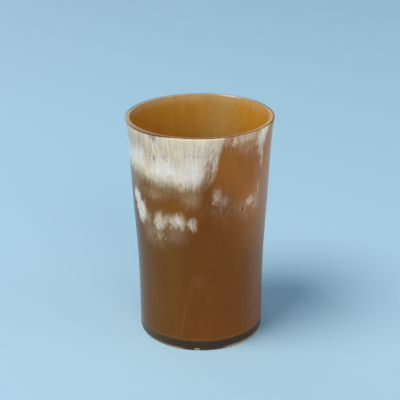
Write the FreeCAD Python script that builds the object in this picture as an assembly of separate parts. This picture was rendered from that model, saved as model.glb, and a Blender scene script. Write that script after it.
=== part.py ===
import FreeCAD, Part
import math
import os

# Drinking tumbler made from one length of cow horn.
# The horn is heated, pressed round over a tapered plug, cut to length and turned true at the foot.
# A separate disc of dark horn closes it. The disc's edge is bevelled like a barrel head, and it snaps
# into a groove turned inside the wall. Glue fills the groove and leaves a small fillet above and below.
# A pale key is let into the foot from below, across the wall and into the edge of the disc.
# Millimetres, +Z up. The origin is at the centre of the foot, on the surface that the cup stands on.
# The front of the cup, with the key, faces -Y.

# Horn wall, outside
height = 114.0
foot_radius = 31.6
lip_radius = 36.7
waist_height = 20.0            # the outside is straight up to here, then it flares
flare_height_shares = (0.0, 0.25, 0.5, 0.75, 0.915, 1.0)
flare_width_shares = (0.0, 0.096, 0.357, 0.60, 0.786, 1.0)
foot_bevel_height = 1.2
foot_bevel_inset = 0.5

# Horn wall, edges and thickness
foot_wall = 3.0
lip_wall = 2.3
lip_outer_round = 0.7
lip_inner_round = 0.4
foot_inner_round = 0.3
most_of_wall_share = 0.45      # no edge round takes more of its wall than this

# Base disc, and the groove that holds it
disc_thickness = 4.2
disc_recess = 1.1              # the disc's underside clears the table by this much
groove_depth = 0.9
glue_gap = 0.15
inside_fillet = 0.8
under_fillet = 0.5
bore_above_fillet = 3.0        # the bore is turned straight this far above the glue

# Key let into the foot
key_width = 2.4
key_bite = 0.4                 # how far the key stands up into the disc
key_reach = 2.0                # how far the key runs in past the bore
key_angle = -4.0               # degrees from the front, towards -X

overrun = 2.0                  # how far a cutting shape stands past what it cuts

# Sizes that follow from the ones above
seat_radius = foot_radius - foot_wall
disc_bottom = disc_recess
disc_top = disc_recess + disc_thickness
edge_bevel = min(groove_depth, disc_thickness / 2)
bore_height = disc_top + inside_fillet + bore_above_fillet
key_height = disc_recess + key_bite
key_inner_radius = seat_radius - key_reach
foot_flat_radius = foot_radius - foot_bevel_inset

AXIS_FOOT = FreeCAD.Vector(0, 0, 0)
AXIS_UP = FreeCAD.Vector(0, 0, 1)


def point(radius, z):
    """A point of a section, in the plane that is turned about the axis."""
    return FreeCAD.Vector(radius, 0, z)


def straight_edges(points):
    """Straight edges that join the points in turn. Two equal neighbours make no edge."""
    pairs = zip(points, points[1:])
    return [Part.makeLine(a, b) for a, b in pairs if not a.isEqual(b, Part.Precision.confusion())]


def flared_edge(points):
    """One smooth edge through the points. It leaves the first one going straight up."""
    curve = Part.BSplineCurve()
    curve.interpolate(Points=points, InitialTangent=AXIS_UP, FinalTangent=points[-1] - points[-2])
    return curve.toShape()


def turned(edges):
    """The solid that a closed section makes when it is turned about the axis."""
    face = Part.Face(Part.Wire(Part.__sortEdges__(edges)))
    return face.revolve(AXIS_FOOT, AXIS_UP, 360)


def flare_stations():
    """Height and outer radius of the flared wall at each share of the table, from the waist to the lip."""
    rise = height - waist_height
    swell = lip_radius - foot_radius
    pairs = zip(flare_height_shares, flare_width_shares)
    return [(waist_height + up * rise, foot_radius + out * swell) for up, out in pairs]


def wall_thickness(z):
    """The wall thins evenly from the top of the straight bore to the lip."""
    share = (z - bore_height) / (height - bore_height)
    return foot_wall + (lip_wall - foot_wall) * share


def outside_edges():
    """Edges of the outside, from the foot's flat over the bevel and along the flare to the lip."""
    flare = [point(radius, z) for z, radius in flare_stations()]
    bevel = [point(foot_flat_radius, 0), point(foot_radius, foot_bevel_height)]
    return straight_edges(bevel + flare[:1]) + [flared_edge(flare)]


def inside_edges():
    """Edges of the hollow, up the straight bore and along the flare to the lip."""
    bore_top = point(seat_radius, bore_height)
    flare = [point(radius - wall_thickness(z), z) for z, radius in flare_stations()]
    return straight_edges([point(seat_radius, 0), bore_top]) + [flared_edge([bore_top] + flare)]


def groove_corners(radius):
    """Corners of the groove, or of the disc's edge that it holds, which is smaller by the glue."""
    return [
        point(radius, disc_top),
        point(radius + groove_depth, disc_top - edge_bevel),
        point(radius + groove_depth, disc_bottom + edge_bevel),
        point(radius, disc_bottom),
    ]


def glue_fillet(corner_z, size, side):
    """Ends and hollow edge of a glue fillet where the bore meets a face of the disc.

    side is 1 on top of the disc and -1 under it.
    """
    on_wall = point(seat_radius, corner_z + side * size)
    on_disc = point(seat_radius - size, corner_z)
    centre = point(seat_radius - size, corner_z + side * size)
    reach = size * math.sqrt(1 / 2)
    return on_wall, on_disc, Part.Arc(on_wall, centre + point(reach, -side * reach), on_disc).toShape()


def with_round(solid, radius, z, round_radius, wall):
    """The solid with the edge of that radius and height rounded over, as far as its wall allows."""
    near = Part.Precision.confusion() * 10
    rims = [
        edge for edge in solid.Edges
        if isinstance(edge.Curve, Part.Circle)
        and abs(edge.Curve.Radius - radius) < near
        and abs(edge.Curve.Center.z - z) < near
    ]
    return solid.makeFillet(min(round_radius, most_of_wall_share * wall), rims)


def key_slot():
    """The straight bar that the key fills, from inside the disc's edge out past the wall."""
    length = foot_radius + overrun - key_inner_radius
    bar = Part.makeBox(key_width, length, key_height)
    bar.translate(FreeCAD.Vector(-key_width / 2, -key_inner_radius - length, 0))
    bar.rotate(AXIS_FOOT, AXIS_UP, key_angle)
    return bar


def make_horn_wall():
    """The horn itself: flared tube, rolled lip, bevelled foot and the groove for the disc."""
    foot = straight_edges([point(seat_radius, 0), point(foot_flat_radius, 0)])
    lip = straight_edges([point(lip_radius - lip_wall, height), point(lip_radius, height)])
    wall = turned(foot + outside_edges() + lip + inside_edges())
    wall = with_round(wall, lip_radius, height, lip_outer_round, lip_wall)
    wall = with_round(wall, lip_radius - lip_wall, height, lip_inner_round, lip_wall)
    wall = with_round(wall, seat_radius, 0, foot_inner_round, foot_wall)
    corners = groove_corners(seat_radius)
    inside = [point(seat_radius - overrun, disc_bottom), point(seat_radius - overrun, disc_top)]
    groove = turned(straight_edges(corners + inside + corners[:1]))
    return wall.cut(groove).cut(key_slot())


def make_base_disc():
    """The disc of dark horn, with its bevelled edge and the notch for the key."""
    corners = groove_corners(seat_radius - glue_gap)
    middle = [point(0, disc_bottom), point(0, disc_top)]
    disc = turned(straight_edges(corners + middle + corners[:1]))
    return disc.cut(key_slot())


def make_glue_seam():
    """The ring of glue between the disc and its groove, with the fillet squeezed out on each side."""
    upper_wall, upper_disc, upper_edge = glue_fillet(disc_top, inside_fillet, 1)
    lower_wall, lower_disc, lower_edge = glue_fillet(disc_bottom, under_fillet, -1)
    outer_face = straight_edges([upper_wall] + groove_corners(seat_radius) + [lower_wall])
    inner_face = straight_edges([upper_disc] + groove_corners(seat_radius - glue_gap) + [lower_disc])
    seam = turned(outer_face + [lower_edge] + inner_face + [upper_edge])
    return seam.cut(key_slot())


def make_foot_key():
    """The pale key, cut flush with the outside of the wall and its bevel."""
    foot = straight_edges([point(0, 0), point(foot_flat_radius, 0)])
    top = straight_edges([point(lip_radius, height), point(0, height), point(0, 0)])
    return key_slot().common(turned(foot + outside_edges() + top))


pieces = {
    "horn_wall": make_horn_wall(),
    "base_disc": make_base_disc(),
    "glue_seam": make_glue_seam(),
    "foot_key": make_foot_key(),
}

os.makedirs("parts", exist_ok=True)
for name, shape in pieces.items():
    print(name, "solids", len(shape.Solids), "valid", shape.isValid(), "volume", round(shape.Volume, 2))
    shape.exportStep(f"parts/{name}.step")
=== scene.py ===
import math

import bpy
from mathutils import Matrix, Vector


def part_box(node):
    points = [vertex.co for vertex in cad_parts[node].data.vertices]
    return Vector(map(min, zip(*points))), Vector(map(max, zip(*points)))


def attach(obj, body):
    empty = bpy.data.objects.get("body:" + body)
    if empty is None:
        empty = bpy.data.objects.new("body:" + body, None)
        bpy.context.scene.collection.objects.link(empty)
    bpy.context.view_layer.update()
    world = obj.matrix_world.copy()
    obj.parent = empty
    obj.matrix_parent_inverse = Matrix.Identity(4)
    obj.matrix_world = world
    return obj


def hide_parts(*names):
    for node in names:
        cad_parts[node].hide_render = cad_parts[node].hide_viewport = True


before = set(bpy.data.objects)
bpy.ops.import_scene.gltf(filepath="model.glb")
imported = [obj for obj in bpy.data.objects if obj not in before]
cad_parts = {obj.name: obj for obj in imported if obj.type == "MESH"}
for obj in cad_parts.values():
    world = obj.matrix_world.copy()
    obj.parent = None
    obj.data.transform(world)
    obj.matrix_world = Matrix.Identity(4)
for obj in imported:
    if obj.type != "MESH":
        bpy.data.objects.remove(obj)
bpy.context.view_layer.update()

# Horn wall
# One length of cow horn, heated and pressed round over a tapered plug, then turned true at the foot.
# The lip is rolled over, a groove inside the foot takes the base disc, and the whole is polished.
# The cream clouds lie in the outermost layer only, so they stop where the lip and the foot are worn through.

MM = 0.001
SEGMENTS = 256

cup_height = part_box("horn_wall")[1].z
disc_low, disc_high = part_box("base_disc")

foot_radius = 31.6 * MM
lip_radius = 36.7 * MM
waist_height = 20.0 * MM
flare_height_shares = (0.0, 0.25, 0.5, 0.75, 0.915, 1.0)
flare_width_shares = (0.0, 0.096, 0.357, 0.60, 0.786, 1.0)
foot_bevel_height = 1.2 * MM
foot_bevel_inset = 0.5 * MM
foot_wall = 3.0 * MM
lip_wall = 2.3 * MM
lip_outer_round = 0.7 * MM
lip_inner_round = 0.4 * MM
foot_inner_round = 0.3 * MM
groove_depth = 0.9 * MM
inside_fillet = 0.8 * MM
bore_above_fillet = 3.0 * MM
bore_height = disc_high.z + inside_fillet + bore_above_fillet
seat_radius = foot_radius - foot_wall

# Rings of the mesh: on the straight foot at these multiples of the bevel's height, then even on the flare
foot_rings = (1.0, 1.6, 2.5, 4.0, 7.0, 11.0)
flare_rings = 46
crease_angle = math.radians(35)


def flare_share(rise_share):
    """Share of the flare that is reached at a share of the height above the waist, as a smooth curve."""
    ups, outs = flare_height_shares, flare_width_shares
    last = len(ups) - 1
    here = max(i for i in range(last) if ups[i] <= rise_share or i == 0)

    def slope(i):
        if i == 0:
            return 0.0
        return (outs[min(i + 1, last)] - outs[i - 1]) / (ups[min(i + 1, last)] - ups[i - 1])

    span = ups[here + 1] - ups[here]
    t = (rise_share - ups[here]) / span
    return (
        (2 * t**3 - 3 * t**2 + 1) * outs[here]
        + (t**3 - 2 * t**2 + t) * span * slope(here)
        + (3 * t**2 - 2 * t**3) * outs[here + 1]
        + (t**3 - t**2) * span * slope(here + 1)
    )


def outer_radius(z):
    """Radius of the outside at a height, without the foot's bevel and the lip's round."""
    rise_share = max(0.0, (z - waist_height) / (cup_height - waist_height))
    return foot_radius + (lip_radius - foot_radius) * flare_share(min(rise_share, 1.0))


def inner_radius(z):
    """Radius of the hollow at a height. The wall thins evenly from the top of the straight bore."""
    thinned = max(0.0, (z - bore_height) / (cup_height - bore_height))
    return outer_radius(z) - foot_wall - (lip_wall - foot_wall) * thinned


def quarter_round(centre, size, from_angle, to_angle, steps=5):
    """Stations round a quarter circle of a section. Angles are in degrees from straight out."""
    turns = [math.radians(from_angle + (to_angle - from_angle) * i / steps) for i in range(steps + 1)]
    return [(centre[0] + size * math.cos(a), centre[1] + size * math.sin(a)) for a in turns]


def groove_corners(radius):
    """Stations of the groove, or of the disc's edge that it holds, from the top down."""
    return [
        (radius, disc_high.z),
        (radius + groove_depth, disc_high.z - groove_depth),
        (radius + groove_depth, disc_low.z + groove_depth),
        (radius, disc_low.z),
    ]


def wall_stations():
    """The wall's section, as radius and height, from the foot's flat up the outside and down the inside."""
    lip_top = cup_height
    straight = [foot_bevel_height * ring for ring in foot_rings]
    outer_end = lip_top - lip_outer_round
    inner_end = lip_top - lip_inner_round
    ups = [waist_height + (outer_end - waist_height) * i / flare_rings for i in range(flare_rings + 1)]
    downs = [inner_end + (bore_height - inner_end) * i / flare_rings for i in range(flare_rings + 1)]
    outer_centre = (outer_radius(outer_end) - lip_outer_round, outer_end)
    inner_centre = (inner_radius(inner_end) + lip_inner_round, inner_end)
    outside = [(foot_radius, z) for z in straight] + [(outer_radius(z), z) for z in ups]
    lip = quarter_round(outer_centre, lip_outer_round, 0, 90)[1:]
    lip += quarter_round(inner_centre, lip_inner_round, 90, 180)[:-1]
    inside = [(inner_radius(z), z) for z in downs]
    foot_centre = (seat_radius + foot_inner_round, foot_inner_round)
    foot = groove_corners(seat_radius) + quarter_round(foot_centre, foot_inner_round, 180, 270)
    return [(foot_radius - foot_bevel_inset, 0.0)] + outside + lip + inside + foot


def turned_ring(name, stations):
    """A ring of that section, drawn out station by station from a circle, then closed on itself."""
    bpy.ops.object.select_all(action="DESELECT")
    radius, z = stations[0]
    bpy.ops.mesh.primitive_circle_add(vertices=SEGMENTS, radius=radius, location=(0, 0, z))
    piece = bpy.context.object
    piece.name = name
    bpy.ops.object.transform_apply(location=True)
    bpy.ops.object.mode_set(mode="EDIT")
    for next_radius, next_z in stations[1:]:
        growth = next_radius / radius
        bpy.ops.mesh.extrude_region_move(TRANSFORM_OT_translate={"value": (0, 0, next_z - z)})
        bpy.ops.transform.resize(value=(growth, growth, 1), center_override=(0, 0, next_z))
        radius, z = next_radius, next_z
    bpy.ops.mesh.select_all(action="DESELECT")
    bpy.ops.mesh.select_non_manifold()
    bpy.ops.mesh.bridge_edge_loops()
    bpy.ops.mesh.select_all(action="SELECT")
    bpy.ops.mesh.normals_make_consistent(inside=False)
    bpy.ops.object.mode_set(mode="OBJECT")
    return piece


horn_wall = turned_ring("horn_wall_turned", wall_stations())


# The slot for the key is sawn across the foot while the wall is bare. The same saw cut runs on into
# the glue and the disc's edge, so each of those pieces is cut with it too.

key_width = 2.4 * MM
key_turn = math.radians(-4.0)
key_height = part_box("foot_key")[1].z
key_reach = 2.0 * MM
key_inner_radius = seat_radius - key_reach
saw_overrun = 2.0 * MM


def key_bar(name, low):
    """A bar out through the front of the foot, as wide as the key, from a height up to the key's top."""
    bpy.ops.object.select_all(action="DESELECT")
    length = foot_radius + saw_overrun - key_inner_radius
    bpy.ops.mesh.primitive_cube_add(
        size=1,
        location=(0, -key_inner_radius - length / 2, (low + key_height) / 2),
        scale=(key_width, length, key_height - low),
    )
    bar = bpy.context.object
    bar.name = name
    bpy.ops.object.transform_apply(location=True, rotation=True, scale=True)
    bar.rotation_euler.z = key_turn
    bpy.ops.object.transform_apply(location=True, rotation=True, scale=True)
    return bar


def saw_key_slot(piece):
    """Cuts the key's slot out of a piece."""
    saw = key_bar("saw", -saw_overrun)
    cut = piece.modifiers.new("key slot", "BOOLEAN")
    cut.object = saw
    cut.operation = "DIFFERENCE"
    cut.solver = "EXACT"
    bpy.context.view_layer.objects.active = piece
    bpy.ops.object.modifier_apply(modifier=cut.name)
    bpy.data.objects.remove(saw)


saw_key_slot(horn_wall)


def smooth_edges(piece):
    """Smooth shading, with every edge sharper than the crease angle left crisp."""
    bpy.ops.object.select_all(action="DESELECT")
    piece.select_set(True)
    bpy.context.view_layer.objects.active = piece
    bpy.ops.object.shade_smooth_by_angle(angle=crease_angle)


smooth_edges(horn_wall)

# Each point of the wall knows how deep it lies in the horn, from 0 on the outside to 1 in the hollow.
depth = horn_wall.data.attributes.new("wall_depth", "FLOAT", "POINT")
for vertex, value in zip(horn_wall.data.vertices, depth.data):
    radius = math.hypot(vertex.co.x, vertex.co.y)
    outside = outer_radius(vertex.co.z)
    value.value = min(1.0, max(0.0, (outside - radius) / (outside - inner_radius(vertex.co.z))))


def colour(red, green, blue):
    """A colour given as it looks on a screen, 0 to 255, as the linear values that a shader takes."""
    def linear(level):
        level /= 255
        return level / 12.92 if level <= 0.04045 else ((level + 0.055) / 1.055) ** 2.4
    return (linear(red), linear(green), linear(blue), 1.0)


def add_node(tree, kind, inputs=None, **settings):
    """Adds a node. An input that is given a socket is linked to it, and any other is set."""
    new = tree.nodes.new(kind)
    for name, value in settings.items():
        setattr(new, name, value)
    for key, value in (inputs or {}).items():
        if isinstance(value, bpy.types.NodeSocket):
            tree.links.new(value, new.inputs[key])
        else:
            new.inputs[key].default_value = value
    return new


def maths(tree, operation, first, second=0.0, third=0.0):
    """One sum of numbers."""
    return add_node(
        tree, "ShaderNodeMath", {0: first, 1: second, 2: third}, operation=operation
    ).outputs[0]


def vector_maths(tree, operation, first, second=None):
    """One sum of vectors. SCALE takes a number as its second, and LENGTH gives a number."""
    inputs = {0: first}
    if second is not None:
        inputs["Scale" if operation == "SCALE" else 1] = second
    outputs = add_node(tree, "ShaderNodeVectorMath", inputs, operation=operation).outputs
    return outputs["Value" if operation == "LENGTH" else "Vector"]


def noise(tree, place, scale, detail, roughness):
    """Noise about 0.5 at a place."""
    return add_node(
        tree, "ShaderNodeTexNoise",
        {"Vector": place, "Scale": scale, "Detail": detail, "Roughness": roughness},
    ).outputs[0]


def ramp(tree, value, low, high, to_low=0.0, to_high=1.0):
    """A value that goes smoothly from to_low at low to to_high at high, and no further."""
    return add_node(
        tree,
        "ShaderNodeMapRange",
        {"Value": value, "From Min": low, "From Max": high, "To Min": to_low, "To Max": to_high},
        interpolation_type="SMOOTHSTEP",
    ).outputs["Result"]


def blend_colours(tree, amount, first, second):
    """The first colour where the amount is 0, and the second where it is 1."""
    return add_node(
        tree, "ShaderNodeMix", {"Factor": amount, "A": first, "B": second}, data_type="RGBA"
    ).outputs["Result"]


def new_material(name):
    """A new material, with its tree and its shader."""
    material = bpy.data.materials.new(name)
    material.use_nodes = True
    return material, material.node_tree, material.node_tree.nodes["Principled BSDF"]


def link_surface(tree, shader, base, roughness, relief, strength, distance):
    """Gives a shader its colour, its roughness and a low relief."""
    bump = add_node(
        tree, "ShaderNodeBump", {"Height": relief, "Strength": strength, "Distance": distance}
    ).outputs[0]
    tree.links.new(base, shader.inputs["Base Color"])
    tree.links.new(roughness, shader.inputs["Roughness"])
    tree.links.new(bump, shader.inputs["Normal"])


def new_group(name, inputs, outputs):
    """An empty shader group with number inputs, given with their defaults, and number outputs."""
    group = bpy.data.node_groups.new(name, "ShaderNodeTree")
    for label, default in inputs.items():
        socket = group.interface.new_socket(label, in_out="INPUT", socket_type="NodeSocketFloat")
        socket.default_value = default
    for label in outputs:
        group.interface.new_socket(label, in_out="OUTPUT", socket_type="NodeSocketFloat")
    return group


def make_place_on_cup_group():
    """Angle from the front in degrees, plus towards +X, and height in millimetres."""
    group = new_group("place on cup", {}, ("Angle", "Height"))
    place = add_node(group, "ShaderNodeTexCoord").outputs["Object"]
    xyz = add_node(group, "ShaderNodeSeparateXYZ", {0: place}).outputs
    towards_front = maths(group, "MULTIPLY", xyz["Y"], -1.0)
    radians = maths(group, "ARCTAN2", xyz["X"], towards_front)
    angle = maths(group, "DEGREES", radians)
    height = maths(group, "DIVIDE", xyz["Z"], MM)
    add_node(group, "NodeGroupOutput", {"Angle": angle, "Height": height})
    return group


def make_grain_group():
    """The grain of horn, all 0 to 1: long hairs and shorter fibres that run up it, slanting strokes, broad
    streaks, puffs and clouds. It is laid out on a plain cylinder, so that it runs on up the flare."""
    group = new_group(
        "horn grain",
        {"Fibre Width": 0.48, "Fibre Length": 8.0, "Girth Radius": 34.0, "Slant": -0.007},
        ("Hair", "Fine", "Stroke", "Broad", "Puff", "Cloud"),
    )
    given = add_node(group, "NodeGroupInput").outputs
    place = add_node(group, "ShaderNodeTexCoord").outputs["Object"]
    outwards = vector_maths(group, "NORMALIZE", vector_maths(group, "MULTIPLY", place, (1.0, 1.0, 0.0)))
    on_cylinder = vector_maths(group, "SCALE", outwards, given["Girth Radius"])
    upwards = vector_maths(group, "MULTIPLY", place, (0.0, 0.0, 1 / MM))
    in_mm = vector_maths(group, "ADD", on_cylinder, upwards)
    up = add_node(group, "ShaderNodeSeparateXYZ", {0: in_mm}).outputs["Z"]
    slanted = add_node(
        group, "ShaderNodeVectorRotate",
        {"Vector": in_mm, "Angle": maths(group, "MULTIPLY", up, given["Slant"])}, rotation_type="Z_AXIS",
    ).outputs[0]
    slimness = maths(group, "DIVIDE", given["Fibre Width"], given["Fibre Length"])
    fine_scale = maths(group, "DIVIDE", 1.0, given["Fibre Width"])
    broad_scale = maths(group, "DIVIDE", fine_scale, 6.0)

    def stretched(squeeze, scale, detail, roughness, spot=in_mm):
        """Noise that is stretched up the horn, the more so the lower the squeeze."""
        squeezed = add_node(group, "ShaderNodeCombineXYZ", {"X": 1.0, "Y": 1.0, "Z": squeeze}).outputs[0]
        return noise(group, vector_maths(group, "MULTIPLY", spot, squeezed), scale, detail, roughness)

    add_node(
        group, "NodeGroupOutput",
        {
            "Hair": stretched(maths(group, "DIVIDE", slimness, 2.2), fine_scale, 2.0, 0.5),
            "Fine": stretched(slimness, fine_scale, 2.0, 0.6),
            "Stroke": stretched(0.24, 1.5, 2.0, 0.6, slanted),
            "Broad": stretched(maths(group, "DIVIDE", slimness, 2.0), broad_scale, 3.0, 0.5),
            "Puff": stretched(0.8, 0.4, 4.0, 0.6),
            "Cloud": stretched(0.6, 0.09, 3.0, 0.5),
        },
    )
    return group


def make_patch_group():
    """A soft oval patch on the side, 1 in its middle and 0 outside. It may lean by degrees per mm."""
    inputs = {
        "Angle": 0.0, "Height": 0.0, "At Angle": 0.0, "At Height": 0.0,
        "Half Width": 5.0, "Half Height": 5.0, "Lean": 0.0, "Softness": 0.5,
    }
    group = new_group("soft patch", inputs, ("Amount",))
    given = add_node(group, "NodeGroupInput").outputs
    above = maths(group, "SUBTRACT", given["Height"], given["At Height"])
    beside = maths(group, "SUBTRACT", given["Angle"], given["At Angle"])
    upright = maths(group, "SUBTRACT", beside, maths(group, "MULTIPLY", above, given["Lean"]))
    across = maths(group, "DIVIDE", maths(group, "WRAP", upright, -180.0, 180.0), given["Half Width"])
    up = maths(group, "DIVIDE", above, given["Half Height"])
    both = add_node(group, "ShaderNodeCombineXYZ", {"X": across, "Y": up}).outputs[0]
    distance = vector_maths(group, "LENGTH", both)
    edge = maths(group, "ADD", 1.0, given["Softness"])
    core = maths(group, "SUBTRACT", 1.0, given["Softness"])
    amount = ramp(group, distance, core, edge, 1.0, 0.0)
    add_node(group, "NodeGroupOutput", {"Amount": amount})
    return group


place_on_cup = make_place_on_cup_group()
horn_grain = make_grain_group()
soft_patch = make_patch_group()

# Lower edge of the cream clouds round the cup: degrees from the front, and height in mm.
# Between the clouds it stands above the lip, where there is no cream.
cloud_edge = (
    (-180, 97), (-166, 94.5), (-152, 93), (-138, 95), (-126, 98.5), (-114, 99), (-104, 96), (-95, 94),
    (-85, 93), (-72, 91.6), (-62, 91.4), (-54, 91), (-47, 90.2), (-40, 88.8), (-31, 89.2), (-22, 89.4),
    (-12, 88), (-5, 89), (0, 88.2), (3, 88.6), (6, 89), (9, 90), (11.5, 92), (13.5, 96),
    (15.2, 102), (17, 107.5), (19, 112), (22, 116), (27, 118), (36, 118), (44, 117), (50, 112),
    (54, 107), (58, 106), (62, 110), (70, 116), (82, 119), (94, 117), (106, 112), (117, 106.5),
    (128, 102), (140, 100.5), (154, 102), (167, 100.5), (180, 97),
)
cloud_edge_range = (80.0, 120.0)

# Cream patches beside and below the clouds: angle, height, half width in degrees, half height in mm,
# lean in degrees per mm, softness and strength. At a strength of 1 the middle is nearly solid cream.
cream_patches = (
    (-64, 77.2, 6.6, 4.8, 0.0, 0.5, 0.95),
    (-58.4, 71.4, 7.8, 6.0, 0.0, 0.5, 0.9),
    (-48.5, 68.8, 4.0, 4.0, 0.0, 0.8, 0.34),
    (-35.4, 69, 6.0, 5.0, 0.0, 0.5, 0.62),
    (-35.4, 70, 3.6, 3.0, 0.0, 0.8, 0.7),
    (-37.5, 62.5, 5.0, 5.0, 0.0, 0.9, 0.36),
    (-28.4, 71, 3.6, 3.0, 0.0, 0.7, 0.5),
    (-19, 70.4, 7.6, 4.5, 0.0, 0.5, 0.6),
    (-18, 71, 4.0, 2.8, 0.0, 0.8, 0.74),
    (-21, 64, 9.0, 5.0, 0.0, 0.9, 0.22),
    (-47, 62, 8.0, 6.0, 0.0, 0.9, 0.24),
    (-6.6, 69.4, 4.4, 3.4, 0.0, 0.5, 0.54),
    (13.8, 84.2, 3.6, 4.2, 0.0, 0.7, 0.46),
    (19.4, 81, 3.2, 3.0, 0.0, 0.8, 0.36),
    (13, 77, 5.0, 4.0, 0.0, 0.9, 0.08),
    (21, 74, 4.0, 6.0, 0.0, 0.9, 0.05),
    (37, 76, 6.0, 4.0, 0.0, 0.9, 0.2),
    (44.6, 78.4, 4.6, 2.4, 0.0, 0.8, 0.62),
    (51, 77, 4.2, 5.0, 0.0, 0.7, 0.36),
    (54.5, 83, 2.0, 4.5, 0.0, 0.8, 0.38),
    (27.2, 111.4, 3.0, 2.6, 0.0, 0.6, 0.6),
    (19, 112.5, 5.0, 3.0, 0.0, 0.9, 0.4),
    (39, 113, 14.0, 4.6, 0.0, 0.8, 0.54),
    (42, 108, 7.0, 5.0, 0.0, 0.9, 0.26),
    (53.6, 109.4, 4.8, 7.0, 0.0, 0.8, 0.78),
    (57, 101, 2.2, 7.0, 0.0, 0.9, 0.6),
    (-7, 83, 6.6, 4.4, 0.0, 0.9, 0.26),
    (-40, 83, 10.0, 2.6, 0.0, 0.9, 0.3),
    (98, 77, 6.0, 4.0, 0.0, 0.9, 0.2),
    (105, 84, 3.0, 5.0, 0.0, 0.9, 0.3),
    (118, 77.6, 4.4, 3.8, 0.0, 0.6, 0.56),
    (126, 79.4, 5.6, 4.4, 0.0, 0.5, 0.62),
    (125.4, 80.4, 3.4, 2.6, 0.0, 0.8, 0.76),
    (134, 81.4, 4.2, 5.0, 0.0, 0.7, 0.5),
    (143, 86.4, 3.0, 3.0, 0.0, 0.8, 0.4),
    (152, 84, 8.0, 4.4, 0.0, 0.9, 0.24),
    (169, 74.4, 4.4, 4.6, 0.0, 0.8, 0.34),
    (177, 77, 5.0, 4.2, 0.0, 0.5, 0.56),
    (-173.6, 78.6, 6.6, 5.0, 0.0, 0.5, 0.64),
    (-173, 79.6, 3.6, 2.8, 0.0, 0.8, 0.8),
    (-165, 77.4, 4.6, 4.0, 0.0, 0.6, 0.56),
    (-144, 73.4, 3.4, 3.6, 0.0, 0.8, 0.34),
    (-136, 72, 9.0, 5.0, 0.0, 0.9, 0.2),
    (-130.4, 74.8, 3.6, 3.2, 0.0, 0.8, 0.4),
    (-114, 79.4, 4.6, 4.6, 0.0, 0.7, 0.44),
    (-106, 81.4, 5.4, 4.2, 0.0, 0.5, 0.6),
    (-98.4, 82.6, 6.0, 4.8, 0.0, 0.5, 0.64),
    (-99.6, 83, 3.6, 2.8, 0.0, 0.8, 0.8),
    (-91, 80, 4.4, 3.6, 0.0, 0.7, 0.44),
)

# Places with scattered pale flecks, in the same terms
flecked_places = (
    (30, 77, 24.0, 5.0, 0.0, 0.8, 0.22),
    (17, 79, 9.0, 7.0, 0.0, 0.8, 0.34),
    (40, 74.5, 8.0, 5.0, 0.0, 0.8, 0.42),
    (-36, 62.5, 18.0, 5.0, 0.0, 0.8, 0.4),
    (-40, 83.5, 12.0, 3.0, 0.0, 0.8, 0.36),
    (-8, 83.4, 8.0, 4.0, 0.0, 0.8, 0.34),
    (55, 92, 6.0, 12.0, 0.0, 0.8, 0.3),
    (136, 78, 28.0, 6.0, 0.0, 0.8, 0.26),
    (-122, 75, 24.0, 5.0, 0.0, 0.8, 0.24),
)

# Places where the brown breaks through the clouds, in the same terms
brown_gaps = (
    (9, 98, 8.0, 12.0, 0.15, 0.8, 0.5),
    (7, 95.6, 5.0, 7.0, 0.6, 0.8, 0.66),
    (14.5, 107, 3.6, 7.0, 0.3, 0.9, 0.4),
    (-66, 108, 9.0, 4.0, 0.0, 0.9, 0.12),
    (-49, 109, 4.0, 5.0, 0.0, 0.9, 0.12),
    (-37.5, 101.4, 1.5, 1.4, 0.0, 0.7, 0.5),
    (-36.5, 112.4, 2.2, 2.0, 0.0, 0.7, 0.4),
    (150, 108, 9.0, 5.0, 0.0, 0.9, 0.3),
    (-166, 104, 7.0, 5.0, 0.0, 0.9, 0.3),
    (-118, 106, 8.0, 5.0, 0.0, 0.9, 0.3),
)

# The whitest cores of the clouds, in the same terms
white_cores = (
    (-57, 101.5, 12.0, 4.6, 0.0, 0.7, 1.0),
    (-76, 98, 12.0, 5.0, 0.0, 0.8, 0.8),
    (-78, 107, 10.0, 7.0, 0.0, 0.9, 0.7),
    (-30, 98, 11.0, 6.0, 0.0, 0.7, 1.0),
    (-7, 97, 9.0, 7.0, 0.0, 0.7, 1.0),
    (-36, 111, 7.0, 2.6, 0.0, 0.8, 0.6),
    (6, 105, 9.0, 7.0, 0.0, 0.8, 0.5),
    (132, 108, 14.0, 4.0, 0.0, 0.8, 0.8),
    (178, 103, 13.0, 5.0, 0.0, 0.8, 0.9),
    (-150, 100, 14.0, 5.0, 0.0, 0.8, 1.0),
    (-103, 102, 12.0, 5.0, 0.0, 0.8, 0.9),
)

# Thin veils that only grey the brown, in the same terms
veils = (
    (-66, 87, 12.0, 4.6, 0.0, 0.9, 0.5),
    (-9, 84.4, 8.0, 4.6, 0.0, 0.9, 0.22),
    (-22, 86, 16.0, 2.6, 0.0, 0.9, 0.26),
    (-40, 63, 14.0, 7.0, 0.0, 0.9, 0.1),
    (36, 111, 18.0, 4.6, 0.0, 0.9, 0.4),
    (62, 45, 12.0, 40.0, 0.0, 0.9, 0.1),
    (74, 90, 14.0, 26.0, 0.0, 0.9, 0.1),
    (-2, 38, 6.0, 2.6, 0.0, 0.9, 0.05),
    (130, 90, 30.0, 9.0, 0.0, 0.9, 0.25),
    (-140, 88, 30.0, 9.0, 0.0, 0.9, 0.25),
)

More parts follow.
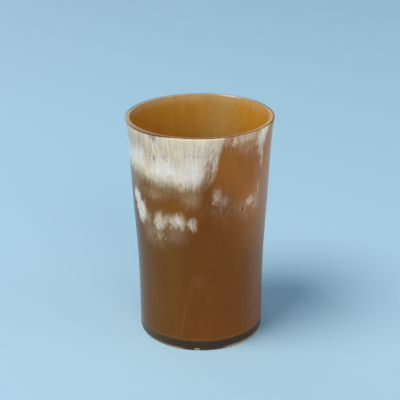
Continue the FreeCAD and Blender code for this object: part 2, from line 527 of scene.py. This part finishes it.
# Brown stains within the cream, in the same terms
stains = (
    (-68, 107.5, 10.0, 4.4, 0.0, 0.9, 0.3),
    (-53, 108, 6.0, 4.0, 0.0, 0.9, 0.26),
    (-43.4, 103, 5.0, 5.5, 0.0, 0.9, 0.38),
    (-36.5, 111.6, 2.4, 2.6, 0.0, 0.9, 0.4),
    (-18, 101.6, 5.0, 4.0, 0.0, 0.9, 0.26),
    (-25, 105.6, 5.0, 3.4, 0.0, 0.9, 0.24),
    (-10, 99, 7.0, 6.0, 0.0, 0.9, 0.14),
    (-33, 107, 4.0, 5.0, 0.0, 0.9, 0.2),
    (-48, 100.4, 2.2, 0.8, 0.0, 0.8, 0.4),
    (-24, 103.4, 12.0, 0.9, 0.0, 0.9, 0.32),
    (-6, 105.0, 10.0, 0.9, 0.0, 0.9, 0.3),
    (-14, 107.5, 16.0, 3.0, 0.0, 0.9, 0.15),
    (140, 110, 12.0, 4.0, 0.0, 0.9, 0.4),
    (-160, 106, 9.0, 3.0, 0.0, 0.9, 0.4),
)

# Single marks, in the same terms: the end of the clouds where the strokes slant, warmer and greyer places
# in the brown, a faint scratch, a pit with two specks above it, a painted highlight streak inside and a
# painted highlight on the lip
slanting_end = (10, 101, 11.0, 15.0, 0.0, 0.6, 0.75)
orange_places = ((34, 100, 25.0, 16.0, 0.0, 0.6, 1.0), (-34, 78, 30.0, 8.0, 0.0, 0.8, 0.35))
grey_place = (60, 78, 7.0, 8.0, 0.0, 0.8, 0.35)
scratch = (-15.5, 18, 0.5, 10.0, 0.35, 0.9, 0.12)
pit_and_specks = (
    (36.6, 75.4, 0.85, 0.8, 0.0, 0.5, 1.0),
    (31.6, 100, 0.4, 1.9, 0.0, 0.8, 0.45),
    (25.4, 107.2, 0.5, 0.9, 0.0, 0.8, 0.4),
)
inner_highlight_streak = (161, 100, 15.0, 50.0, 0.0, 0.9, 0.7)
lip_highlight_place = (152, 114, 9.0, 5.0, 0.0, 0.9, 0.5)

# Sides of the cup: the angle of the middle, and the degrees from it where a look begins to fade and is gone
hairy_side = (-70, 25, 75)
lilac_side = (85, 59, 95)
olive_side = (-50, 10, 55)
lit_right_side = (95, 35, 85)
lit_band_side = (-97.5, 37.5, 82.5)
shaded_inside = (0, 50, 95)
shaded_inner_left = (-90, 20, 80)
lit_inner_right = (100, 0, 80)
tan_lip_side = (0, 20, 105)
gold_lip_side = (90, 20, 70)
brown_shade_side = (0, 55, 85)
weak_shade_side = (-62, 12, 40)
strong_shade_side = (0, 130, 175)
wide_shade_side = (0, 80, 115)
rolled_lip_left = (-64, 18, 50)
rolled_lip_front = (0, 60, 90)
foot_shade_front = (2.5, 16, 24)

# Heights in mm over which a look comes or goes
cloud_fade = (-6.5, 7.0)
yellow_straw_heights = (101.0, 106.0)
long_hair_heights = (98.0, 106.0)
short_hair_heights = (96.0, 106.0)
lilac_heights = (62.0, 74.0)
pink_heights = (103.0, 108.0)
lit_right_heights = (40.0, 90.0)
hair_shade_heights = (60.0, 100.0)
inner_shade_heights = (84.0, 105.0)
glow_heights = (108.5, 114.4)
lip_fade = (-0.34, -0.12)
band_fade = (-0.6, 0.6)
foot_fade = (-0.1, 0.4)
# Painted light: a faint line of light just above the seen disc, passing through the wall at the glue fillet
light_line_height = 6.1
light_line_fade = (0.2, 0.9)

# How far outlines stray with the grain: degrees by the puffs and the strokes, mm by the fibres and the
# puffs, and a shift that centres each
sideways_stray = (6.0, 4.0, -4.8)
upward_stray = (5.0, 7.0, -6.0)
edge_stray = 3.0

# Levels between which the grain fades in: nearly its whole range, its middle, or only its peaks
most = (0.3, 0.7)
middle = (0.35, 0.6)
long_hair_levels = (0.47, 0.66)
short_hair_levels = (0.52, 0.72)
fleck_levels = (0.4, 0.7)

red_brown = colour(124, 66, 8)
olive_brown = colour(121, 74, 12)
right_brown = colour(126, 68, 12)
# Painted light: the right side's brown grows lighter towards the top where light falls on it, partly the
# horn's own tone
lit_upper_right_brown = colour(184, 114, 52)
orange_brown = colour(166, 96, 32)
bone_white = colour(255, 240, 228)
straw = colour(255, 232, 200)
yellow_straw = colour(255, 231, 192)
hair_tan = colour(156, 108, 70)
veil_olive = colour(192, 160, 118)
veil_pink = colour(206, 152, 112)
veil_lilac = colour(196, 162, 138)
veil_grey = colour(146, 132, 118)
amber = colour(186, 136, 50)
shaded_amber_left = colour(188, 124, 34)
lit_amber_right = colour(212, 152, 50)
amber_highlight = colour(190, 154, 90)
glow_amber = colour(206, 182, 132)
lip_tan = colour(146, 98, 52)
lip_gold = colour(190, 148, 100)
lip_pale = colour(182, 158, 118)
lip_shade_brown = colour(84, 50, 24)
lip_shade_grey = colour(66, 70, 60)
seen_disc = colour(60, 48, 35)
# Painted light: the seen disc is lighter on the left, where light falls on the foot
seen_disc_lit_left = colour(88, 74, 44)
foot_tan = colour(184, 152, 110)
foot_brown = colour(96, 62, 38)
pit_brown = colour(66, 18, 2)


def make_horn_material():
    """Brown horn under cream clouds, amber inside, tan on the lip, with the dark disc seen at the foot."""
    material, tree, shader = new_material("polished horn")
    place = add_node(tree, "ShaderNodeGroup", node_tree=place_on_cup).outputs
    angle, height = place["Angle"], place["Height"]
    grain = add_node(tree, "ShaderNodeGroup", node_tree=horn_grain).outputs
    hair, fine, stroke = grain["Hair"], grain["Fine"], grain["Stroke"]
    broad, puff, cloud = grain["Broad"], grain["Puff"], grain["Cloud"]
    depth_in_wall = add_node(tree, "ShaderNodeAttribute", attribute_name="wall_depth").outputs["Fac"]

    def plus(first, second):
        return maths(tree, "ADD", first, second)

    def minus(first, second):
        return maths(tree, "SUBTRACT", first, second)

    def times(first, second, added=None):
        if added is None:
            return maths(tree, "MULTIPLY", first, second)
        return maths(tree, "MULTIPLY_ADD", first, second, added)

    def larger(first, second):
        return maths(tree, "MAXIMUM", first, second)

    def fade(value, span, to_low=0.0, to_high=1.0):
        return ramp(tree, value, *span, to_low, to_high)

    def mix(amount, first, second):
        return blend_colours(tree, amount, first, second)

    def scaled(base, factor):
        """A colour times a number."""
        return vector_maths(tree, "SCALE", base, factor)

    def on_side(side, inside=1.0, outside=0.0):
        """One value on a side of the cup and another off it."""
        centre, *span = side
        return fade(maths(tree, "ABSOLUTE", minus(angle, centre)), span, inside, outside)

    by_puff, by_stroke, shift = sideways_stray
    ragged_angle = plus(angle, times(puff, by_puff, times(stroke, by_stroke, shift)))
    by_fibre, by_puff, shift = upward_stray
    ragged_height = plus(height, times(fine, by_fibre, times(puff, by_puff, shift)))

    def patch(spot, ragged=True):
        """One soft patch at its strength. Its outline follows the fibres unless it is a small plain mark."""
        at_angle, at_height, half_width, half_height, lean, softness, strength = spot
        oval = add_node(
            tree, "ShaderNodeGroup",
            {
                "Angle": ragged_angle if ragged else angle, "Height": ragged_height if ragged else height,
                "At Angle": at_angle, "At Height": at_height,
                "Half Width": half_width, "Half Height": half_height, "Lean": lean, "Softness": softness,
            },
            node_tree=soft_patch,
        ).outputs["Amount"]
        return times(oval, strength)

    def largest(patches):
        """The largest of some patches at each place."""
        so_far = 0.0
        for spot in patches:
            so_far = larger(so_far, patch(spot))
        return so_far

    # How much cream there is by height above the clouds' lower edge, less the gaps
    edge_curve = add_node(tree, "ShaderNodeFloatCurve", {"Value": times(ragged_angle, 1 / 360, 0.5)})
    low, high = cloud_edge_range
    points = edge_curve.mapping.curves[0].points
    for at_angle, at_height in cloud_edge[1:-1]:
        points.new((at_angle + 180) / 360, (at_height - low) / (high - low))
    points[0].location = (0.0, (cloud_edge[0][1] - low) / (high - low))
    points[len(points) - 1].location = (1.0, (cloud_edge[-1][1] - low) / (high - low))
    edge_curve.mapping.update()
    edge_height = times(edge_curve.outputs[0], high - low, low)
    lumps = times(puff, 2.0, -1.0)
    above_edge = times(lumps, edge_stray, minus(height, edge_height))
    amount = minus(fade(above_edge, cloud_fade), largest(brown_gaps))

    # Fine lines streak the thin edge of the clouds and the patches, and slant at the clouds' right end
    lines = plus(times(hair, 1.2), times(fine, 0.9, -1.05))
    strokes = times(stroke, 1.8, -0.9)
    slanting = patch(slanting_end)
    marks = times(slanting, minus(strokes, lines), lines)
    thinness = times(amount, minus(1.0, amount))
    depth_of_marks = times(thinness, times(slanting, 2.4, 1.5), times(amount, 0.05))
    amount = times(marks, depth_of_marks, amount)
    mottle = plus(times(marks, 0.6), times(strokes, 0.5))
    spots = times(largest(cream_patches), times(lumps, 0.4, plus(mottle, 0.98)))
    flecks = times(largest(flecked_places), fade(stroke, fleck_levels))
    spots = larger(spots, times(flecks, fade(puff, middle, 0.3, 1.2)))
    solid = larger(maths(tree, "MINIMUM", amount, 1.0), maths(tree, "MINIMUM", spots, 0.95))
    cream = larger(solid, 0.0)

    # Straw with brown hairs near the lip, bone white in the cores, and tan or lilac where it is thin
    towards_lip = fade(plus(height, times(puff, 10.0, -5.0)), yellow_straw_heights)
    straws = mix(times(towards_lip, fade(cloud, (0.4, 0.6))), straw, yellow_straw)
    whiteness = larger(largest(white_cores), fade(spots, (0.4, 0.85)))
    cream_colour = mix(times(whiteness, fade(puff, (0.3, 0.6), 0.7, 1.0)), straws, bone_white)
    long_hairs = times(fade(hair, long_hair_levels), fade(height, long_hair_heights, 0.1, 0.34))
    short_hairs = times(fade(fine, short_hair_levels), fade(height, short_hair_heights, 0.1, 0.46))
    hairs = times(larger(long_hairs, short_hairs), fade(puff, middle, 0.4, 1.2))
    hairs = times(hairs, fade(stroke, (0.36, 0.6), 0.4, 1.3))
    cream_colour = mix(times(hairs, on_side(hairy_side, 1.35, 0.75)), cream_colour, hair_tan)
    broken_stains = times(largest(stains), fade(fine, (0.3, 0.6), 0.5, 1.2))
    cream_colour = mix(broken_stains, cream_colour, hair_tan)
    cream_colour = scaled(cream_colour, fade(puff, most, 0.94, 1.05))
    on_right = on_side(lilac_side)
    thin_colour = mix(larger(on_right, fade(height, lilac_heights, 0.7, 0.0)), veil_olive, veil_lilac)
    thin_colour = mix(times(on_right, fade(height, pink_heights)), thin_colour, veil_pink)
    cream_colour = mix(fade(cream, (0.05, 0.7)), thin_colour, cream_colour)

    # The brown under it: olive on the left, redder in the middle, orange at the upper right, and on the
    # right side lighter towards the top, partly the horn's own tone and partly painted light
    ground = mix(on_side(olive_side), red_brown, olive_brown)
    lit_right_brown = mix(fade(height, lit_right_heights), right_brown, lit_upper_right_brown)
    ground = mix(on_side(lit_right_side), ground, lit_right_brown)
    for spot in orange_places:
        ground = mix(patch(spot), ground, orange_brown)
    hair_shade = times(fade(hair, most, -1.0, 1.0), fade(height, hair_shade_heights, 0.005, 0.025))
    shade = times(fade(broad, most, 0.98, 1.02), plus(hair_shade, 1.0))
    ground = scaled(ground, times(shade, fade(cloud, most, 0.94, 1.06)))
    ground = mix(times(largest(veils), fade(fine, (0.3, 0.65), 0.45, 1.25)), ground, thin_colour)
    ground = mix(patch(grey_place), ground, veil_grey)
    ground = mix(patch(scratch, False), ground, veil_olive)
    outer_colour = mix(cream, ground, cream_colour)
    for spot in pit_and_specks:
        outer_colour = mix(patch(spot, False), outer_colour, pit_brown)

    # The dark disc shows through the wall at the foot, with soft edges and painted light on its left side,
    # and a faint painted line of light above it, where light passes through the wall at the glue fillet
    disc_top = disc_high.z / MM
    band = fade(height, [disc_top + step for step in band_fade], 1.0, 0.0)
    off_light_line = maths(tree, "ABSOLUTE", minus(height, light_line_height))
    outer_colour = mix(fade(off_light_line, light_line_fade, 0.06, 0.0), outer_colour, veil_olive)
    band_colour = mix(on_side(lit_band_side), seen_disc, seen_disc_lit_left)
    outer_colour = mix(times(band, 0.95), outer_colour, band_colour)

    # Amber inside, lifted as a painted glow of light through the wall, in painted shade on the left and
    # painted light on the right, and paler towards the lip as painted glow where the wall is thin and the
    # clouds lie behind it
    glow = fade(times(cloud, 6.0, minus(height, 3.0)), glow_heights)
    # Painted shade on the left inner wall, away from the light, and painted light on the right inner wall,
    # where it falls
    inner_colour = mix(on_side(shaded_inner_left), amber, shaded_amber_left)
    inner_colour = mix(on_side(lit_inner_right), inner_colour, lit_amber_right)
    # Painted highlight: a soft pale streak on the inner wall at the back right
    inner_colour = mix(patch(inner_highlight_streak), inner_colour, amber_highlight)
    inner_colour = mix(times(glow, on_side(shaded_inside, 0.1, 0.6)), inner_colour, glow_amber)
    inner_shade = times(fade(broad, most, 0.96, 1.04), fade(height, inner_shade_heights, 0.88, 1.0))
    inner_shade = times(inner_shade, fade(puff, most, 0.96, 1.04))
    inner_colour = scaled(inner_colour, times(inner_shade, fade(hair, most, 0.97, 1.03)))
    body_colour = mix(fade(depth_in_wall, most), outer_colour, inner_colour)

    # The bare cut edges: the lip, with painted shade along its outer arris and a painted highlight at its
    # back, and the foot below the disc, with painted shade at its front
    # The lip is tan at the front, gold at the sides and pale at the back, the pale partly painted highlight;
    # the bone white patch at the back right is a painted highlight
    lip_colour = mix(on_side(tan_lip_side, 0.0, 1.0), lip_tan, lip_pale)
    lip_colour = mix(on_side(gold_lip_side), lip_colour, lip_gold)
    lip_colour = mix(patch(lip_highlight_place), lip_colour, bone_white)
    lip_colour = scaled(lip_colour, fade(puff, most, 0.92, 1.08))
    # Painted shade: a dark line along the lip's outer arris, brown at the front and grey at the sides and
    # back, wider towards the back and fainter on the left
    arris_shade_colour = mix(on_side(brown_shade_side, 0.0, 1.0), lip_shade_brown, lip_shade_grey)
    arris_shade_strength = times(on_side(weak_shade_side), -0.6, on_side(strong_shade_side, 0.95, 0.8))
    arris_shade_depth = minus(depth_in_wall, on_side(wide_shade_side, 0.0, 0.28))
    outermost = times(fade(arris_shade_depth, (0.2, 0.45), 1.0, 0.0), arris_shade_strength)
    lip_colour = mix(outermost, lip_colour, arris_shade_colour)
    turned_over = larger(on_side(rolled_lip_left, 0.7, 0.0), on_side(rolled_lip_front, 0.0, 0.3))
    lip_span = [cup_height / MM + step for step in lip_fade]
    all_colour = mix(fade(plus(height, turned_over), lip_span), body_colour, lip_colour)
    # Painted shade: the foot's tan bevel, its bare end grain, is brown at the front, where the bevel faces
    # the shade under the foot
    foot_tan_share = times(on_side(foot_shade_front, 0.0, 0.9), fade(cloud, (0.35, 0.5), 0.75, 1.0))
    foot_colour = mix(foot_tan_share, foot_brown, foot_tan)
    foot_span = [disc_low.z / MM + step for step in foot_fade]
    all_colour = mix(fade(height, foot_span, 1.0, 0.0), all_colour, foot_colour)

    link_surface(tree, shader, all_colour, fade(fine, most, 0.26, 0.36), fine, 0.04, 0.1 * MM)
    shader.inputs["Specular IOR Level"].default_value = 0.1
    shader.inputs["Coat Weight"].default_value = 0.4
    shader.inputs["Coat IOR"].default_value = 1.28
    shader.inputs["Coat Roughness"].default_value = 0.2
    return material


horn_wall.data.materials.clear()
horn_wall.data.materials.append(make_horn_material())
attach(horn_wall, "root")
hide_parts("horn_wall")

# Base disc
# A flat disc of dark horn that closes the cup. Its edge is bevelled both ways like a barrel head, so that
# it snaps into the groove. Its faces are turned, then scraped smooth.

glue_gap = 0.15 * MM
disc_dish = 0.12 * MM
disc_rings = (0.97, 0.86, 0.7, 0.5, 0.3, 0.1)
turning_step = 0.7


def turned_disc(name, stations, top_rings=(), dish=0.0):
    """A solid turned piece, drawn up from a filled circle. Its top is dished a little in rings."""
    bpy.ops.object.select_all(action="DESELECT")
    radius, z = stations[0]
    bpy.ops.mesh.primitive_circle_add(
        vertices=SEGMENTS, radius=radius, location=(0, 0, z), fill_type="NGON"
    )
    piece = bpy.context.object
    piece.name = name
    bpy.ops.object.transform_apply(location=True)
    bpy.ops.object.mode_set(mode="EDIT")
    for next_radius, next_z in stations[1:]:
        growth = next_radius / radius
        bpy.ops.mesh.extrude_region_move(TRANSFORM_OT_translate={"value": (0, 0, next_z - z)})
        bpy.ops.transform.resize(value=(growth, growth, 1), center_override=(0, 0, next_z))
        radius, z = next_radius, next_z
    for share, next_share in zip((1.0,) + top_rings, top_rings):
        drop = dish * (share**2 - next_share**2)
        bpy.ops.mesh.extrude_region_move(TRANSFORM_OT_translate={"value": (0, 0, -drop)})
        bpy.ops.transform.resize(
            value=(next_share / share, next_share / share, 1), center_override=(0, 0, z)
        )
    bpy.ops.mesh.select_all(action="SELECT")
    bpy.ops.mesh.normals_make_consistent(inside=False)
    bpy.ops.object.mode_set(mode="OBJECT")
    return piece


disc_radius = seat_radius - glue_gap
disc_profile = groove_corners(disc_radius)[::-1]
base_disc = turned_disc("base_disc_turned", disc_profile, disc_rings, disc_dish)
saw_key_slot(base_disc)
smooth_edges(base_disc)

disc_dark = colour(62, 46, 32)
disc_mid = colour(96, 68, 44)
disc_light = colour(128, 96, 62)


def make_disc_material():
    """Satin dark horn with a grain of long streaks across it and faint rings from turning."""
    material, tree, shader = new_material("dark horn")
    place = add_node(tree, "ShaderNodeTexCoord").outputs["Object"]
    in_mm = vector_maths(tree, "SCALE", place, 1 / MM)
    lengthwise = vector_maths(tree, "MULTIPLY", in_mm, (0.06, 1.0, 1.0))
    streaks = noise(tree, lengthwise, 0.45, 5.0, 0.6)
    hairs = noise(tree, lengthwise, 2.4, 2.0, 0.5)
    from_axis = vector_maths(tree, "LENGTH", vector_maths(tree, "MULTIPLY", in_mm, (1.0, 1.0, 0.0)))
    turning = maths(tree, "SINE", maths(tree, "MULTIPLY", from_axis, 2 * math.pi / turning_step))
    base = blend_colours(tree, ramp(tree, streaks, 0.36, 0.6), disc_dark, disc_mid)
    pale_hairs = maths(tree, "MULTIPLY", ramp(tree, hairs, 0.55, 0.72), 0.5)
    base = blend_colours(tree, pale_hairs, base, disc_light)
    relief = maths(tree, "ADD", maths(tree, "MULTIPLY", turning, 0.25), hairs)
    link_surface(tree, shader, base, ramp(tree, hairs, 0.3, 0.7, 0.34, 0.48), relief, 0.2, 0.05 * MM)
    shader.inputs["Specular IOR Level"].default_value = 0.3
    return material


base_disc.data.materials.clear()
base_disc.data.materials.append(make_disc_material())
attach(base_disc, "root")
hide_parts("base_disc")

# Glue seam
# Clear amber resin that fills the gap between the disc's edge and the groove.
# What was squeezed out is wiped to a small hollow fillet above and below the disc.

under_fillet = 0.5 * MM


def glue_stations():
    """The seam's section: down the groove, round the lower fillet, up the disc's edge, round the upper."""
    upper_centre = (seat_radius - inside_fillet, disc_high.z + inside_fillet)
    lower_centre = (seat_radius - under_fillet, disc_low.z - under_fillet)
    upper = quarter_round(upper_centre, inside_fillet, 270, 360, 6)
    lower = quarter_round(lower_centre, under_fillet, 0, 90, 6)
    return groove_corners(seat_radius) + lower + groove_corners(disc_radius)[::-1] + upper


glue_seam = turned_ring("glue_seam_squeezed", glue_stations())
saw_key_slot(glue_seam)
smooth_edges(glue_seam)

glue_amber = colour(132, 84, 36)
glue_dark = colour(88, 52, 24)


def make_glue_material():
    """Glossy amber resin, darker in places, with a skin that is a little uneven."""
    material, tree, shader = new_material("amber glue")
    place = add_node(tree, "ShaderNodeTexCoord").outputs["Object"]
    lumps = noise(tree, place, 0.5 / MM, 3.0, 0.5)
    base = blend_colours(tree, ramp(tree, lumps, 0.35, 0.65), glue_dark, glue_amber)
    link_surface(tree, shader, base, ramp(tree, lumps, 0.3, 0.7, 0.12, 0.22), lumps, 0.3, 0.1 * MM)
    return material


glue_seam.data.materials.clear()
glue_seam.data.materials.append(make_glue_material())
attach(glue_seam, "root")
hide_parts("glue_seam")

# Foot key
# A small bar of pale horn, driven into the sawn slot from below until it bites into the disc's edge.
# Its outer end is filed flush with the wall and its bevel.

key_edge = 0.06 * MM
key_edge_angle = math.radians(40)
flush_height = 10.0 * MM

foot_key = key_bar("foot_key_filed", 0.0)
flush = turned_disc(
    "flush",
    [(foot_radius - foot_bevel_inset, 0.0), (foot_radius, foot_bevel_height), (foot_radius, flush_height)],
)
filed = foot_key.modifiers.new("filed flush", "BOOLEAN")
filed.object = flush
filed.operation = "INTERSECT"
filed.solver = "EXACT"
broken_edges = foot_key.modifiers.new("broken edges", "BEVEL")
broken_edges.width = key_edge
broken_edges.segments = 2
broken_edges.limit_method = "ANGLE"
broken_edges.angle_limit = key_edge_angle
bpy.context.view_layer.objects.active = foot_key
bpy.ops.object.modifier_apply(modifier=filed.name)
bpy.ops.object.modifier_apply(modifier=broken_edges.name)
bpy.data.objects.remove(flush)
smooth_edges(foot_key)

key_pale = colour(206, 172, 124)
key_tan = colour(168, 132, 88)


def make_key_material():
    """Pale horn with its grain along the bar."""
    material, tree, shader = new_material("pale horn")
    place = add_node(tree, "ShaderNodeTexCoord").outputs["Object"]
    in_mm = vector_maths(tree, "SCALE", place, 1 / MM)
    hairs = noise(tree, vector_maths(tree, "MULTIPLY", in_mm, (1.0, 0.15, 1.0)), 3.0, 3.0, 0.6)
    base = blend_colours(tree, ramp(tree, hairs, 0.35, 0.65), key_tan, key_pale)
    link_surface(tree, shader, base, ramp(tree, hairs, 0.3, 0.7, 0.34, 0.46), hairs, 0.2, 0.05 * MM)
    shader.inputs["Specular IOR Level"].default_value = 0.3
    return material


foot_key.data.materials.clear()
foot_key.data.materials.append(make_key_material())
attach(foot_key, "root")
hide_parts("foot_key")

# Stage
# A plain pale floor that runs out into a backdrop of the same blue, under four soft lamps: the key at the
# upper left, a fill in front, and a card on the right and one behind. The camera stands where the
# photograph was taken from.

floor_blue = colour(168, 207, 228)
backdrop_blue = colour(168, 205, 226)
room_blue = colour(150, 213, 255)
room_strength = 0.31
floor_size = 12.0
floor_fades_from = 1.1
floor_is_gone_at = 2.4


def seen_directly(tree):
    """1 where the surface is seen, straight or in gloss or glass, and 0 where it lights the cup."""
    path = add_node(tree, "ShaderNodeLightPath").outputs
    mirrored = maths(tree, "MAXIMUM", path["Is Glossy Ray"], path["Is Transmission Ray"])
    return maths(tree, "MAXIMUM", path["Is Camera Ray"], mirrored)


bpy.ops.object.select_all(action="DESELECT")
bpy.ops.mesh.primitive_plane_add(size=floor_size, location=(0, 0, 0))
floor = bpy.context.object
floor.name = "floor"
floor_material, floor_tree, floor_shader = new_material("pale floor")
floor_shader.inputs["Base Color"].default_value = floor_blue
floor_shader.inputs["Roughness"].default_value = 0.7
floor_shader.inputs["Specular IOR Level"].default_value = 0.2
spot_on_floor = add_node(floor_tree, "ShaderNodeTexCoord").outputs["Object"]
away = vector_maths(floor_tree, "LENGTH", spot_on_floor)
fading = ramp(floor_tree, away, floor_fades_from, floor_is_gone_at)
faded = maths(floor_tree, "MULTIPLY", fading, seen_directly(floor_tree))
far_floor = add_node(floor_tree, "ShaderNodeEmission", {"Color": backdrop_blue, "Strength": 1.0})
all_floor = add_node(
    floor_tree, "ShaderNodeMixShader", {0: faded, 1: floor_shader.outputs[0], 2: far_floor.outputs[0]}
)
floor_tree.links.new(all_floor.outputs[0], floor_tree.nodes["Material Output"].inputs["Surface"])
floor.data.materials.append(floor_material)

scene = bpy.context.scene
scene.view_settings.view_transform = "Standard"

world = bpy.data.worlds.new("soft room")
scene.world = world
world.use_nodes = True
room_tree = world.node_tree
room = room_tree.nodes["Background"]
room.inputs["Color"].default_value = room_blue
room.inputs["Strength"].default_value = room_strength
backdrop = add_node(room_tree, "ShaderNodeBackground", {"Color": backdrop_blue, "Strength": 1.0})
all_room = add_node(
    room_tree, "ShaderNodeMixShader",
    {0: seen_directly(room_tree), 1: room.outputs[0], 2: backdrop.outputs[0]},
)
room_tree.links.new(all_room.outputs[0], room_tree.nodes["World Output"].inputs["Surface"])

lamp_distance = 2.4
lamp_aim_height = 0.05

# Each lamp: degrees to the left of the front, degrees up, width in metres, watts and tint
lamps = {
    "soft key": (57, 62, 1.4, 53.0, (255, 240, 226)),
    "front fill": (-22, 28, 1.3, 13.5, (255, 238, 222)),
    "right card": (-70, 14, 1.6, 13.0, (255, 240, 228)),
    "back card": (150, 14, 1.6, 8.0, (255, 242, 228)),
}
for name, (to_left, up, width, watts, tint) in lamps.items():
    lamp = bpy.data.lights.new(name, "AREA")
    lamp.shape = "DISK"
    lamp.size = width
    lamp.energy = watts
    lamp.color = colour(*tint)[:3]
    hung = bpy.data.objects.new(name, lamp)
    scene.collection.objects.link(hung)
    turn, rise = math.radians(to_left), math.radians(up)
    hung.location = (
        -lamp_distance * math.cos(rise) * math.sin(turn),
        -lamp_distance * math.cos(rise) * math.cos(turn),
        lamp_distance * math.sin(rise) + lamp_aim_height,
    )
    hung.rotation_euler = (-hung.location).to_track_quat("-Z", "Y").to_euler()
    hung.visible_camera = False

# The camera's place is in cup heights in front of the cup and up, and its tilts are in degrees
focal_pixels = 1083.9
frame_pixels = 400
camera_pitch = 22.411
camera_roll = -0.40
camera_to_side = -0.14 * MM
camera_in_front = 4.4342
camera_up = 2.4323
sensor_width = 36.0
camera_data = bpy.data.cameras.new("camera")
camera_data.sensor_width = sensor_width
camera_data.lens = sensor_width * focal_pixels / frame_pixels
camera = bpy.data.objects.new("camera", camera_data)
scene.collection.objects.link(camera)
camera.matrix_world = (
    Matrix.Translation((camera_to_side, -camera_in_front * cup_height, camera_up * cup_height))
    @ Matrix.Rotation(math.radians(90 - camera_pitch), 4, "X")
    @ Matrix.Rotation(math.radians(camera_roll), 4, "Z")
)
scene.camera = camera
